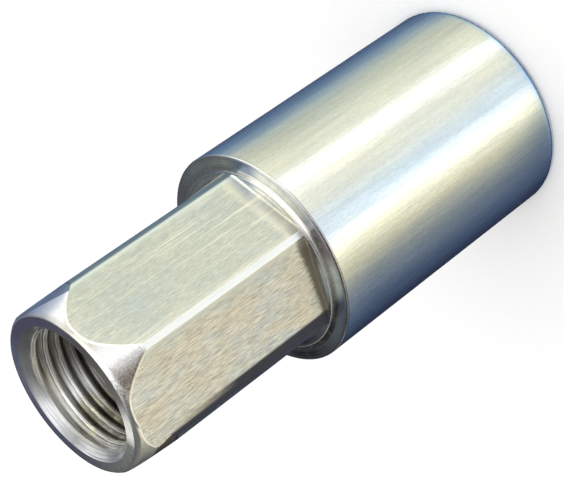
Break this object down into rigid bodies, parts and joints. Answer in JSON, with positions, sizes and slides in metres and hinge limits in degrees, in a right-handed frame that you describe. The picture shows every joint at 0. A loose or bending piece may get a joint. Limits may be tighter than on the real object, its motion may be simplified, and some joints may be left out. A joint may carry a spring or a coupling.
{
  "type": "coupling nut",
  "caption": "Round turned sleeve stepping down to a hexagonal wrench end, threaded right through to join two rods end to end.",
  "frame": {"origin": "centre of the plain round end's face, where it stands", "axes": "+Z along the thread axis, from the plain end to the hex end; two hex flats face +X and -X"},
  "size_m": [0.032, 0.032, 0.0785],
  "materials": {
    "plated_steel": "satin, pale zinc plate, turned round the body and milled along the flats"
  },
  "bodies": {
    "root": {"coupling_nut": "plated_steel"}
  },
  "joints": []
}
